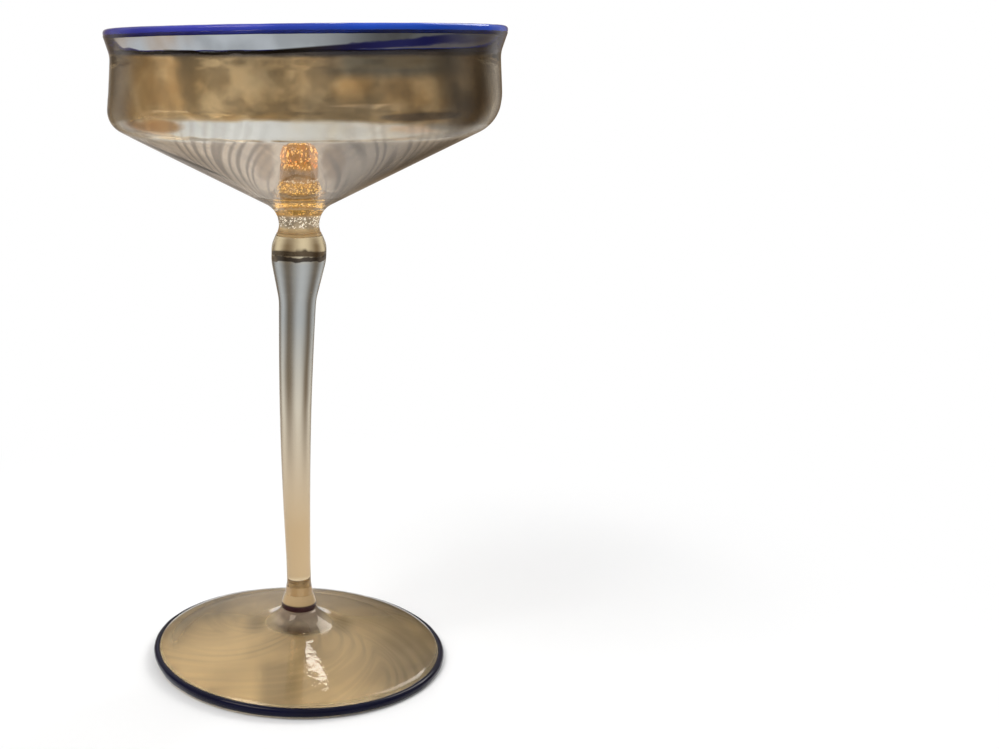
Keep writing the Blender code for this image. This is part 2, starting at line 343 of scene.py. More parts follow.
class HandSizes(PropertyGroup):
    """What the maker's hand left: drift, tilt and reams"""

    lip_shift: length("Lip shift", "How far the wall of the bowl stands off the axis", 1.5)
    lip_tilt: FloatVectorProperty(
        name="Lip tilt",
        description="Slope of the lip's plane along X and Y",
        default=(0.009, -0.018, 0.0),
        size=3,
    )
    leg_bow: length("Leg bow", "How far the leg bows to one side", 0.9)
    funnel_ream: length("Funnel ream", "Depth of the reams that run down the funnel", 0.02)
    neck_ream: strength("Neck ream", "Share of the funnel's reams that is left at the axis", 0.15)
    wall_ream: length("Wall ream", "Depth of the reams in the wall", 0.03)
    thread_ream: length("Thread ream", "Unevenness of the laid threads", 0.12)
    thread_sag: slope("Thread sag", "How much deeper than round the threads are below their middle", 1.35)
    thread_cloud: strength("Thread cloud", "How dark the clouds in the threads are", 0.25)
    foot_ream: length("Foot ream", "Depth of the tool marks on the foot", 0.008)
    foot_tilt: slope("Foot tilt", "Slope of the foot's edge along X", -0.018)
    leg_ream: length("Leg ream", "Depth of the reams in the leg", 0.06)
    dent: length("Dent", "Depth of the small dents in front of the foot", 0.02)
    dent_place: length("Dent place", "How far back the dents reach", -3)
    dent_soft: length("Dent soft", "Width over which they fade out", 14)
    dent_fineness: amount("Dent fineness", "How fine the dents are, per metre", 500.0)
    segments: number("Segments", "Sides of a wide turned piece", 240, 24)


class GlassColours(PropertyGroup):
    """Tints of the glass, with painted shade, painted reflections and painted glow among them"""

    lip: colour("Lip", "Clearer glass under the lip", (0.46, 0.50, 0.54))
    wall: colour("Wall", "Smoky champagne of the wall", (0.73, 0.56, 0.345))
    smoke: colour("Smoke", "Darker clouds in the wall", (0.30, 0.26, 0.20))
    cream: colour("Cream", "Paler patches in the wall", (0.92, 0.80, 0.60))
    # Painted shade: grey for the upper right of the wall
    wall_grey_shade: colour("Soot", "Sooty patch of the wall", (0.26, 0.27, 0.27))
    tawny: colour("Tawny", "Brown end of the lip", (0.42, 0.31, 0.21))
    # Painted reflection on the turn of the bowl
    tan: colour("Tan", "Tan patch on the turn of the bowl", (0.49, 0.27, 0.10))
    # Painted shade: below the painted line under the lip, and in the shadow patch over the turn
    shade_slate: colour("Slate", "Grey glass below the dark line under the lip", (0.145, 0.145, 0.17))
    # Painted reflection on the turn of the bowl
    peach: colour("Peach", "Warm patch on the turn of the bowl", (0.95, 0.74, 0.55))
    turn: colour("Turn", "Pale glass at the turn of the bowl", (0.86, 0.865, 0.85))
    funnel: colour("Funnel", "Paler glass of the funnel", (0.76, 0.68, 0.58))
    streak: colour("Streak", "Streaks that curl down the funnel", (0.25, 0.20, 0.16))
    neck: colour("Neck", "Warm glass of the neck", (0.92, 0.86, 0.74))
    knop: colour("Knop", "Tan glass of the knop", (0.66, 0.54, 0.34))
    leg_top: colour("Leg top", "Grey glass at the top of the leg", (0.40, 0.415, 0.41))
    leg_middle: colour("Leg middle", "Pale glass at half the height of the leg", (0.63, 0.57, 0.46))
    leg_bottom: colour("Leg bottom", "Tan glass at the bottom of the leg", (0.54, 0.39, 0.22))
    ankle: colour("Ankle", "Pale amber foot of the leg", (0.82, 0.70, 0.50))
    foot: colour("Foot", "Tan glass of the foot", (0.95, 0.78, 0.515))
    # Painted shade round the hub of the foot
    hub: colour("Hub", "Darker glass of the foot's hub", (0.115, 0.08, 0.06))
    cobalt: colour("Cobalt", "Thread round the lip", (0.024, 0.150, 1.0))
    violet: colour("Violet", "Duller end of the lip's thread", (0.070, 0.080, 0.62))
    navy: colour("Navy", "Thread round the foot", (0.003, 0.004, 0.02))
    amber: colour("Amber", "Ring and button", (0.96, 0.69, 0.36))
    # Painted shadow where the button meets the hub
    joint_shadow: colour("Maroon", "Lower edge of the button", (0.05, 0.012, 0.02))
    umber: colour("Umber", "Dark band round the knop", (0.010, 0.007, 0.005))
    rust: colour("Rust", "Paler places of the dark band", (0.10, 0.06, 0.03))
    # Painted image of the far thread seen through the wall
    far_thread_image: colour("Dusk", "Dark blue line under the lip", (0.006, 0.010, 0.100))
    honey: colour("Honey", "Core inside the knop", (0.90, 0.76, 0.50))
    silver: colour("Silver", "Core in the neck", (0.60, 0.53, 0.43))
    brass: colour("Brass", "Core between the gold flecks", (0.60, 0.38, 0.12))
    bronze: colour("Bronze", "Dark window of the core", (0.46, 0.32, 0.19))
    ember: colour("Ember", "Head of the core", (0.60, 0.31, 0.010))
    gold: colour("Gold", "Flecks in the core", (1.0, 0.72, 0.26))
    flame: colour("Flame", "Red flecks in the head of the core", (1.0, 0.40, 0.03))
    pearl: colour("Pearl", "Small bubbles", (0.95, 0.92, 0.86))
    body: colour("Body", "What the thickness of the bowl leaves of the light", (0.55, 0.45, 0.25))
    sheen: colour("Sheen", "Gloss on all the glass", (0.60, 0.53, 0.45))
    body_density: amount("Body density", "How fast the thickness of the bowl tints the light", 40.0)
    # Painted glow: the core, the flecks and the bubbles send out light though no lamp lights them there
    painted_core_glow: amount("Core glow", "Light that the core gathers and sends out", 0.62)
    painted_fleck_glow: amount("Fleck glow", "Light that the flecks send back", 1.0)
    painted_pearl_glow: amount("Pearl glow", "Light that the bubbles send back", 0.55)


class StudioSizes(PropertyGroup):
    """Camera, floor and light"""

    camera_distance: length("Camera distance", "Distance of the lens from the axis", 355.8)
    camera_height: length("Camera height", "Height of the lens", 166.7)
    camera_pitch: degrees("Camera pitch", "How far the camera looks down", 13.81)
    camera_lens: amount("Camera lens", "Focal length in millimetres", 50)
    camera_sensor: amount("Camera sensor", "Width of the sensor in millimetres", 36)
    camera_near: length("Camera near", "Nearest distance that the camera shows", 10)
    axis_pixel: amount("Axis pixel", "Column of the picture where the axis stands", 299)
    floor_size: length("Floor size", "Width of the floor", 6000)
    floor_gap: length("Floor gap", "Room between the floor and the foot", 0.05)
    floor_colour: colour("Floor colour", "Paper under the glass", (0.92, 0.92, 0.92))
    paper_inner: length("Paper inner", "How far from the axis the paper starts to run into the room", 60)
    paper_outer: length("Paper outer", "How far from the axis only the room is left", 220)
    shades: number("Shades", "Soft dark screens that stand round the table", 8, 1)
    shade_depth: strength("Shade depth", "How dense a screen is", 0.85)
    shade_colour: colour("Shade colour", "Warm brown of the screens", (0.19, 0.13, 0.07))
    shade_turn: slope("Shade turn", "How far the screens are turned, in radians of their wave", -0.9)
    shade_top: slope("Shade top", "How far up the screens end, from 0 at the horizon to 1 overhead", 0.8)
    shade_full: slope("Shade full", "How far up the screens stay dense", 0.2)
    shade_near: length("Shade near", "How far out on the floor the screens start to show", 100)
    shade_far: length("Shade far", "How far out on the floor they show in full", 350)
    gloss_shade: strength("Gloss shade", "How far gloss shows the screens all round", 0.65)
    bounces: number("Bounces", "Surfaces of glass that light goes through", 32, 4)
    ambient: amount("Ambient", "Level of the light from all around", 0.62)
    lamp_aim: length("Lamp aim", "Height on the axis that the lamps point at", 80)


class Wire:
    """A socket in a node tree. Arithmetic on it adds Math nodes, and add makes any other node."""

    def __init__(self, tree, socket=None):
        self.tree = tree
        self.socket = socket

    @staticmethod
    def pick(sockets, key):
        if isinstance(key, int):
            return sockets[key]
        return next(s for s in sockets if s.enabled and s.name == key)

    def add(self, kind, settings=None, inputs=None, out=0):
        """A node of a kind, with its settings set first and then the values or links of its inputs."""
        node = self.tree.nodes.new(kind)
        for name, value in (settings or {}).items():
            if name == "stops":
                fill_ramp(node.color_ramp, value)
            else:
                setattr(node, name, value)
        for key, value in (inputs or {}).items():
            socket = self.pick(node.inputs, key)
            if isinstance(value, Wire):
                self.tree.links.new(value.socket, socket)
            else:
                socket.default_value = value
        return Wire(self.tree, self.pick(node.outputs, out) if node.outputs else None)

    def out(self, key):
        """Another output of the same node."""
        return Wire(self.tree, self.pick(self.socket.node.outputs, key))

    def math(self, operation, *values):
        return self.add("ShaderNodeMath", {"operation": operation}, dict(enumerate(values)))

    def vector(self, operation, *values, out=0):
        return self.add("ShaderNodeVectorMath", {"operation": operation}, dict(enumerate(values)), out)

    def at(self, x, y, z):
        """A vector of three values."""
        return self.add("ShaderNodeCombineXYZ", inputs={0: x, 1: y, 2: z})

    def parts(self):
        """The X, Y and Z of a vector, as the outputs of one node."""
        return self.add("ShaderNodeSeparateXYZ", inputs={0: self})

    def __add__(self, other):
        return self.math("ADD", self, other)

    def __sub__(self, other):
        return self.math("SUBTRACT", self, other)

    def __rsub__(self, other):
        return self.math("SUBTRACT", other, self)

    def __mul__(self, other):
        return self.math("MULTIPLY", self, other)

    def __truediv__(self, other):
        return self.math("DIVIDE", self, other)

    def __mod__(self, other):
        return self.math("FLOORED_MODULO", self, other)

    __radd__ = __add__
    __rmul__ = __mul__

    def share(self, low, high):
        """0 at low, 1 at high, and even steps between."""
        return self.add("ShaderNodeMapRange", inputs={"Value": self, "From Min": low, "From Max": high})

    def rise(self, place, width):
        """A smooth step from 0 to 1 of a given width, half way up at a place."""
        return self.ease(place - width / 2, place + width / 2)

    def fall(self, place, width):
        """A smooth step from 1 to 0."""
        return self.ease(place + width / 2, place - width / 2)

    def absolute(self):
        """The value without its sign."""
        return self.math("ABSOLUTE", self)

    def ease(self, low, high):
        """0 below low, 1 above high, and a smooth step between."""
        return self.add(
            "ShaderNodeMapRange",
            {"interpolation_type": "SMOOTHSTEP"},
            {"Value": self, "From Min": low, "From Max": high},
        )


def fill_ramp(ramp, stops):
    """Stops of (place, colour) on a colour ramp."""
    while len(ramp.elements) < len(stops):
        ramp.elements.new(1.0)
    for element, (place, value) in zip(ramp.elements, stops):
        element.position = place
        element.color = opaque(value)


def new_tree(name, sockets):
    """A Geometry Nodes tree that takes a mesh and sockets of (name, kind), and gives a mesh."""
    tree = bpy.data.node_groups.new(name, "GeometryNodeTree")
    tree.interface.new_socket("Geometry", in_out="INPUT", socket_type="NodeSocketGeometry")
    for socket, kind in sockets.items():
        tree.interface.new_socket(socket, in_out="INPUT", socket_type="NodeSocket" + kind)
    tree.interface.new_socket("Geometry", in_out="OUTPUT", socket_type="NodeSocketGeometry")
    return Wire(tree).add("NodeGroupInput")


def close_tree(shape, material):
    """Realizes what a tree made and gives it its material."""
    real = shape.add("GeometryNodeRealizeInstances", inputs={"Geometry": shape})
    smooth = shape.add("GeometryNodeSetShadeSmooth", inputs={"Geometry": real})
    dressed = shape.add("GeometryNodeSetMaterial", inputs={"Geometry": smooth, "Material": material})
    shape.add("NodeGroupOutput", inputs={"Geometry": dressed})


def turning_tree():
    """Turns a profile round Z. Each point of the profile is pushed by its own vector times a noise that runs
    along the reams, and the whole piece follows the drift of the maker's hand."""
    given = new_tree(
        "Turned glass",
        {
            "Segments": "Int",
            "Rings": "Int",
            "Reams Around": "Float",
            "Reams Along": "Float",
            "Twist": "Float",
            "Seed": "Float",
            "Front Only": "Float",
            "Lip Shift": "Float",
            "Lip Tilt": "Vector",
            "Leg Bow": "Float",
            "Foot Tilt": "Float",
            "Material": "Material",
        },
    )
    profile = given.out("Geometry")
    rings = given.out("Rings")
    segments = given.out("Segments")
    grid = given.add("GeometryNodeMeshGrid", inputs={"Vertices X": segments + 1, "Vertices Y": rings})
    index = given.add("GeometryNodeInputIndex")
    ring = index % rings
    column = index / rings
    angle = column.math("FLOOR", column) * (2 * pi) / segments

    def on_profile(value):
        return given.add(
            "GeometryNodeSampleIndex",
            {"data_type": "FLOAT_VECTOR"},
            {"Geometry": profile, "Value": value, "Index": ring},
        )

    place = on_profile(given.add("GeometryNodeInputPosition"))
    push = on_profile(
        given.add("GeometryNodeInputNamedAttribute", {"data_type": "FLOAT_VECTOR"}, {"Name": "push"})
    )
    along = place.parts()
    reach = along.out("X") + along.out("Z")
    swept = angle + reach * given.out("Twist")
    around = given.out("Reams Around")
    where = given.at(
        swept.math("COSINE", swept) * around,
        swept.math("SINE", swept) * around,
        reach * given.out("Reams Along"),
    )
    noise = given.add(
        "ShaderNodeTexNoise",
        {"noise_dimensions": "4D"},
        {"Vector": where, "W": given.out("Seed"), "Scale": 1.0, "Detail": 2.0},
    )
    behind = angle.math("SINE", angle).rise(0.0, SIDE_FADE)
    swing = (noise * 2 - 1) * (1 - behind * given.out("Front Only"))
    pushed = given.add("ShaderNodeVectorMath", {"operation": "SCALE"}, {"Vector": push, "Scale": swing})
    moved = given.vector("ADD", place, pushed)
    spun = given.add("ShaderNodeVectorRotate", {"rotation_type": "Z_AXIS"}, {"Vector": moved, "Angle": angle})
    point = spun.parts()
    high = point.out("Z")
    lean = high.ease(*BOWL_LEAN)
    bend = high.share(*LEG_BEND)
    bow = bend.math("SINE", bend * pi) * given.out("Leg Bow")
    tilt = given.vector("DOT_PRODUCT", spun, given.out("Lip Tilt"), out="Value")
    on_foot = high.ease(*FOOT_REST) * high.ease(*FOOT_NECK)
    drift = given.at(
        lean * given.out("Lip Shift") - bow,
        0.0,
        lean * tilt + on_foot * point.out("X") * given.out("Foot Tilt"),
    )
    final = given.vector("ADD", spun, drift)
    shaped = given.add("GeometryNodeSetPosition", inputs={"Geometry": grid, "Position": final})
    closed = given.add("GeometryNodeMergeByDistance", inputs={"Geometry": shaped, "Distance": MERGE})
    close_tree(closed, given.out("Material"))
    return given.tree


def scatter_tree():
    """Scatters the given shape in a shell round Z. Each copy lies flat on the shell, a little tipped, with a
    size drawn from a fixed seed."""
    given = new_tree(
        "Scattered in glass",
        {
            "Count": "Int",
            "Bottom": "Float",
            "Top": "Float",
            "Inner Radius": "Float",
            "Outer Radius": "Float",
            "Size": "Float",
            "Tip": "Float",
            "Seed": "Int",
            "Material": "Material",
        },
    )
    points = given.add("GeometryNodeMeshLine", inputs={"Count": given.out("Count")})
    index = given.add("GeometryNodeInputIndex")
    seed = given.out("Seed")

    def chance(low, high, step):
        return given.add(
            "FunctionNodeRandomValue",
            {"data_type": "FLOAT"},
            {"Min": low, "Max": high, "ID": index, "Seed": seed + step},
            out="Value",
        )

    angle = chance(0.0, 2 * pi, 1)
    share = chance(0.0, 1.0, 2)
    inner = given.out("Inner Radius")
    radius = inner + share.math("SQRT", share) * (given.out("Outer Radius") - inner)
    place = given.at(
        radius * angle.math("COSINE", angle),
        radius * angle.math("SINE", angle),
        chance(given.out("Bottom"), given.out("Top"), 3),
    )
    placed = given.add("GeometryNodeSetPosition", inputs={"Geometry": points, "Position": place})
    size = chance(LEAST_FLECK, 1.0, 4) * given.out("Size")
    tip = given.out("Tip")
    facing = given.at(
        chance(0.0, 2 * pi, 5),
        pi / 2 + chance(-1.0, 1.0, 6) * tip,
        angle + chance(-1.0, 1.0, 7) * tip,
    )
    strewn = given.add(
        "GeometryNodeInstanceOnPoints",
        inputs={
            "Points": placed,
            "Instance": given.out("Geometry"),
            "Rotation": facing,
            "Scale": size,
        },
    )
    close_tree(strewn, given.out("Material"))
    return given.tree


def grown(name, mesh, tree, values):
    """A plain mesh object with the result of a Geometry Nodes tree on a mesh."""
    piece = bpy.data.objects.new(name, mesh)
    bpy.context.scene.collection.objects.link(piece)
    modifier = piece.modifiers.new("Shape", "NODES")
    modifier.node_group = tree
    for socket in tree.interface.items_tree:
        if socket.in_out == "INPUT" and socket.name in values:
            modifier[socket.identifier] = values[socket.name]
    evaluated = piece.evaluated_get(bpy.context.evaluated_depsgraph_get())
    result = bpy.data.meshes.new_from_object(evaluated)
    piece.modifiers.remove(modifier)
    piece.data = result
    result.name = name
    bpy.data.meshes.remove(mesh)
    return piece


def seat(piece, slot, *nodes):
    """Sets a finished piece on the glass, in the place of its solids."""
    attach(piece, BODY)
    if nodes:
        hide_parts(*nodes)


def arc(centre, radius, start, end):
    """Points on a circle in the half plane of the profile, from one angle to another."""
    steps = max(2, ceil(abs(end - start) / ARC_STEP))
    angles = [start + (end - start) * i / steps for i in range(steps + 1)]
    return [Vector((centre[0] + radius * cos(a), centre[1] + radius * sin(a))) for a in angles]


def rounded(corners):
    """A profile through corners of (radius, height, round), where each round is the radius of its fillet."""
    points = []
    for i, (x, z, fillet) in enumerate(corners):
        here = Vector((x, z))
        if fillet == 0:
            points.append(here)
            continue
        back = (Vector(corners[i - 1][:2]) - here).normalized()
        ahead = (Vector(corners[i + 1][:2]) - here).normalized()
        half = back.angle(ahead) / 2
        centre = here + (back + ahead).normalized() * fillet / sin(half)
        spoke = here + back * fillet / tan(half) - centre
        turn = 1 if back.x * ahead.y - back.y * ahead.x < 0 else -1
        start = Vector((1, 0)).angle(spoke) * (1 if spoke.y >= 0 else -1)
        points += arc(centre, fillet, start, start + turn * (pi - 2 * half))
    return points


def filled(points):
    """The same profile with its long straight runs divided."""
    result = [points[0]]
    for a, b in zip(points, points[1:]):
        steps = max(1, ceil((b - a).length / STRAIGHT_STEP))
        result += [a.lerp(b, i / steps) for i in range(1, steps + 1)]
    return result


def turned(name, points, material, values=None, ream=lambda p: 0.0, fused=()):
    """A piece turned from a profile. values are its own inputs of the tree, ream gives the depth of the reams
    at a place of the profile, and fused the heights of flat faces that have melted into a neighbour."""
    points = filled(points)
    mesh = bpy.data.meshes.new(name + "_profile")
    mesh.from_pydata([(p.x, 0, p.y) for p in points], [], [])
    pushes = mesh.attributes.new("push", "FLOAT_VECTOR", "POINT")
    for i, p in enumerate(points):
        along = points[min(i + 1, len(points) - 1)] - points[max(i - 1, 0)]
        along.normalize()
        depth = ream(p) if p.x > MM else 0.0
        pushes.data[i].vector = (along.y * depth, 0, -along.x * depth)
    hand = bpy.context.scene.coupe_hand
    shared = {
        "Segments": hand.segments,
        "Rings": len(points),
        "Lip Shift": hand.lip_shift,
        "Lip Tilt": hand.lip_tilt,
        "Leg Bow": hand.leg_bow,
        "Foot Tilt": hand.foot_tilt,
        "Material": material,
    }
    piece = grown(name, mesh, turning_tree(), shared | (values or {}))
    skin = bmesh.new()
    skin.from_mesh(piece.data)
    bmesh.ops.recalc_face_normals(skin, faces=skin.faces)
    skin.to_mesh(piece.data)
    skin.free()
    piece.data.set_sharp_from_angle(angle=SHARP)
    if fused:
        piece.data.materials.append(fused_face())
        for face in piece.data.polygons:
            heights = [piece.data.vertices[i].co.z for i in face.vertices]
            if any(max(abs(z - level) for z in heights) < MERGE for level in fused):
                face.material_index = 1
    return piece


def place_on(wire):
    """Place on a piece, from the origin."""
    return wire.add("ShaderNodeTexCoord", out="Object")


def along_axis(wire, axis):
    return place_on(wire).parts().out(axis)


def across(wire):
    return along_axis(wire, "X")


def backward(wire):
    return along_axis(wire, "Y")


def height(wire):
    return along_axis(wire, "Z")


def from_above(wire):
    """Place on a piece as seen from above."""
    return wire.vector("MULTIPLY", place_on(wire), (1.0, 1.0, 0.0))


def from_axis(wire):
    return wire.vector("LENGTH", from_above(wire), out="Value")


def tint_by_height(wire, stops):
    """A colour that changes with height, through stops of (height, colour) from the bottom up."""
    bottom, top = stops[0][0], stops[-1][0]
    ramp = [((place - bottom) / (top - bottom), value) for place, value in stops]
    return wire.add("ShaderNodeValToRGB", {"stops": ramp}, {"Fac": height(wire).share(bottom, top)})


def opaque(tint):
    """A linked colour as it is, or a tint of three numbers with its alpha."""
    return tint if isinstance(tint, Wire) else (*tint, 1.0)


def blend(wire, share, low, high):
    """From one colour to another."""
    inputs = {"Factor": share, "A": opaque(low), "B": opaque(high)}
    return wire.add("ShaderNodeMix", {"data_type": "RGBA"}, inputs, out="Result")


def dimmed(wire, tint, level):
    """A tint times a grey level."""
    grey = wire.add("ShaderNodeCombineColor", inputs={0: level, 1: level, 2: level})
    settings = {"data_type": "RGBA", "blend_type": "MULTIPLY"}
    return wire.add("ShaderNodeMix", settings, {"Factor": 1.0, "A": opaque(tint), "B": grey}, out="Result")


def clouds(wire, tint):
    """Soft clouds of the fineness that a tint has, from 0 to 1."""
    inputs = {"Vector": place_on(wire), "Scale": FINENESS[tint], "Detail": 3.0}
    return wire.add("ShaderNodeTexNoise", inputs=inputs).ease(*CLOUD_EDGES)


def swirls(wire, around, along, twist, lines, start=0.0):
    """Thin streaks that run up the glass and curl round it, as the reams of a blown bubble do, from 0 to 1.
    Another start gives other streaks."""
    radius = from_axis(wire)
    spoke = wire.vector("NORMALIZE", from_above(wire))
    curled = wire.add(
        "ShaderNodeVectorRotate", {"rotation_type": "Z_AXIS"}, {"Vector": spoke, "Angle": radius * twist}
    )
    sides = curled.parts()
    where = wire.at(sides.out("X") * around, sides.out("Y") * around, radius * along + start)
    noise = wire.add("ShaderNodeTexNoise", inputs={"Vector": where, "Scale": 1.0, "Detail": 0.6})
    wave = noise * (2 * pi * lines)
    return wave.math("SINE", wave).ease(*STREAK_EDGES)


def new_material(name):
    material = bpy.data.materials.new(name)
    material.use_nodes = True
    material.node_tree.nodes.clear()
    return material, Wire(material.node_tree)


def glass_material(name, tint, settings=None, body=None, glow=None, dents=None, fade=None, frost=None):
    """Glass with a tint that is a colour, or a function from the tree to a linked colour. So are glow, a
    painted glow that the glass sends out as emission though no lamp lights it there, dents, the relief of its
    skin in metres, fade, how far it shows against the glass around it, and frost, its roughness. body is what
    its thickness leaves of the light, and how fast."""
    material, wire = new_material(name)
    defaults = {
        "Base Color": tint(wire) if callable(tint) else opaque(tint),
        "Transmission Weight": 1.0,
        "Roughness": 0.0,
        "IOR": GLASS_IOR,
        "Specular Tint": opaque(bpy.context.scene.coupe_glass.sheen),
    }
    if glow:
        defaults |= {"Emission Color": glow(wire), "Emission Strength": 1.0}
    if fade:
        defaults |= {"Alpha": fade(wire)}
    if frost:
        defaults |= {"Roughness": frost(wire)}
    if dents:
        defaults |= {"Normal": wire.add("ShaderNodeBump", inputs={"Height": dents(wire), "Distance": 1.0})}
    shader = wire.add("ShaderNodeBsdfPrincipled", inputs=defaults | (settings or {}))
    ends = {"Surface": shader}
    if body:
        left, density = body
        inputs = {"Color": opaque(left), "Density": density}
        ends["Volume"] = wire.add("ShaderNodeVolumeAbsorption", inputs=inputs)
    wire.add("ShaderNodeOutputMaterial", inputs=ends)
    return material


def painted_glow_material(name, tint, glow, settings):
    """Flecks of gold and bubbles caught in the glass, with a painted glow: they send out light in their own
    colour.
    """
    material, wire = new_material(name)
    lit = {"Base Color": opaque(tint), "Emission Color": opaque(tint), "Emission Strength": glow}
    shader = wire.add("ShaderNodeBsdfPrincipled", inputs=lit | settings)
    wire.add("ShaderNodeOutputMaterial", inputs={"Surface": shader})
    return material


def fused_face():
    """Light goes straight on where two pieces have melted into each other."""
    name = "fused_face"
    return bpy.data.materials.get(name) or glass_material(name, WHITE, {"IOR": 1.0})


def patch(wire, place, reach, ragged):
    """An oval mark on the near side of the bowl: 1 inside and 0 outside, with a ragged edge. place and reach
    are its middle and its half lengths across and up."""
    aside = (across(wire) - place[0]) / reach[0]
    aloft = (height(wire) - place[1]) / reach[1]
    off = aside * aside + aloft * aloft + clouds(wire, "patch") * ragged
    return off.fall(1.0, PATCH_EDGE) * backward(wire).fall(0.0, reach[0])


def turn_tint(wire, marks, paint):
    """Pale glass of the turn, with faint warm clouds, and painted reflections of the surroundings: a tan
    patch at one end, and a peach and a grey one at the other."""
    tint = blend(wire, clouds(wire, "turn") * marks.turn_cloud, paint.turn, paint.cream)
    for place, reach, depth, mark in (
        (marks.tan_place, marks.tan_reach, marks.tan_depth, paint.tan),
        (marks.peach_place, marks.peach_reach, marks.peach_depth, paint.peach),
        (marks.dove_place, marks.dove_reach, marks.dove_depth, paint.lip),
    ):
        tint = blend(wire, patch(wire, place, reach, marks.patch_ragged) * depth, tint, mark)
    return tint


def funnel_tint(wire, marks, paint):
    """Pale glass with streaks that curl down the funnel, clearer above the fold."""
    side = across(wire)
    back = backward(wire)
    folded = height(wire) + back * marks.fold_tilt
    on_turn = folded.rise(marks.fold_height, marks.soft_edge)
    near = back.fall(0.0, marks.near_soft)
    off_core = from_axis(wire).rise(marks.core_place, marks.core_soft)
    in_front = near * side.absolute().fall(marks.front_width, marks.front_width)
    to_right = side.rise(0.0, marks.front_width * 2)
    right = swirls(wire, **RIGHT_STREAKS)
    left = swirls(wire, **LEFT_STREAKS)
    off_middle = to_right * 2 - 1
    streaks = (right * to_right + left * (1 - to_right)) * off_middle * off_middle * off_core
    streaks = streaks * (1 - on_turn * marks.fold_calm) * (1 - in_front * marks.front_calm)
    streaks = streaks * (1 - (1 - near) * marks.back_calm)
    shaded = side.rise(marks.shade_inner, marks.shade_inner) * side.fall(marks.shade_outer, marks.shade_inner)
    shaded = shaded * off_core * near * (1 - on_turn)
    below = blend(wire, off_core, paint.neck, paint.funnel)
    clear = blend(wire, on_turn, below, turn_tint(wire, marks, paint))
    flanks = 0.0
    for way in (-1, 1):
        place = (way * marks.flank_place[0], marks.flank_place[1])
        flanks = flanks + patch(wire, place, marks.flank_reach, marks.patch_ragged)
    browned = blend(wire, flanks * marks.flank_depth, clear, paint.tawny)
    streaky = blend(wire, streaks * marks.streak_depth, browned, paint.streak)
    return dimmed(wire, streaky, 1 - shaded * marks.shade_depth)


def wall_tint(wire, marks, paint):
    """Smoky glass with paler patches, painted grey shade high on one side, and painted shade at its two ends.
    """
    side = across(wire)
    smoky = blend(wire, clouds(wire, "smoke") * marks.smoke_depth, paint.wall, paint.smoke)
    patchy = blend(wire, clouds(wire, "cream") * marks.cream_depth, smoky, paint.cream)
    # Painted shade: the upper wall turns grey on the right side
    aside = side.rise(marks.grey_shade_inner, marks.grey_shade_soft) * side.fall(marks.grey_shade_outer, marks.grey_shade_soft)
    grey_shaded = height(wire).rise(marks.grey_shade_height, marks.grey_shade_rise) * aside
    # Painted shade: the wall darkens towards its two ends, more on the right
    left_end_shade = side.fall(-marks.end_width, marks.end_soft) * marks.left_depth
    right_end_shade = side.rise(marks.end_width, marks.end_soft) * marks.right_depth
    return dimmed(wire, blend(wire, grey_shaded, patchy, paint.wall_grey_shade), 1 - left_end_shade - right_end_shade)


def lip_tint(wire, marks, paint):
    """Clearer glass under the lip, brown at one end, with a painted image of the far thread seen through the
    wall:
    a dark line that rises and widens to the other end, with painted shade below it.
    """
    side = across(wire)
    spread = side - marks.line_start
    spread = spread.math("MAXIMUM", spread, 0.0)
    # Painted image of the far thread seen through the wall: a dark line, umber on the left and blue on the
    # right, with painted shade below it
    line = spread * marks.line_slant + marks.line_height + clouds(wire, "lip line") * marks.ragged
    above = height(wire) - line
    half = spread * marks.line_widening + marks.line_width
    on_line = (half - above.absolute()).ease(0.0, marks.ragged)
    on_line = on_line * side.absolute().fall(marks.end_width, marks.lip_half)
    high_end = side.rise(marks.lip_half / 2, marks.lip_half)
    clear = dimmed(wire, paint.lip, 1 - high_end * marks.lip_shade - clouds(wire, "lip") * marks.lip_cloud)
    low_end = side.fall(-marks.lip_half, marks.lip_half / 2) * clouds(wire, "lip end")
    clear = blend(wire, low_end * marks.lip_warmth, clear, paint.tawny)
    ends = blend(wire, above.rise(0.0, marks.ragged), paint.shade_slate, clear)
    return blend(wire, on_line, ends, blend(wire, high_end, paint.umber, paint.far_thread_image))


def bowl_tint(wire, marks, paint):
    """The tints of the bowl from its neck to its lip, with ragged edges between them."""
    high = height(wire)
    dip = backward(wire) * marks.smoke_tilt + across(wire) * marks.smoke_slant
    edge = high + dip + clouds(wire, "smoke edge") * marks.ragged
    smoky = edge.rise(marks.smoke_height, marks.soft_edge)
    body = blend(wire, smoky, funnel_tint(wire, marks, paint), wall_tint(wire, marks, paint))
    shadow = patch(wire, marks.shadow_place, marks.shadow_reach, marks.patch_ragged) * marks.shadow_depth
    body = blend(wire, shadow, body, paint.shade_slate)
    return blend(wire, high.rise(marks.lip_height, marks.soft_edge), body, lip_tint(wire, marks, paint))


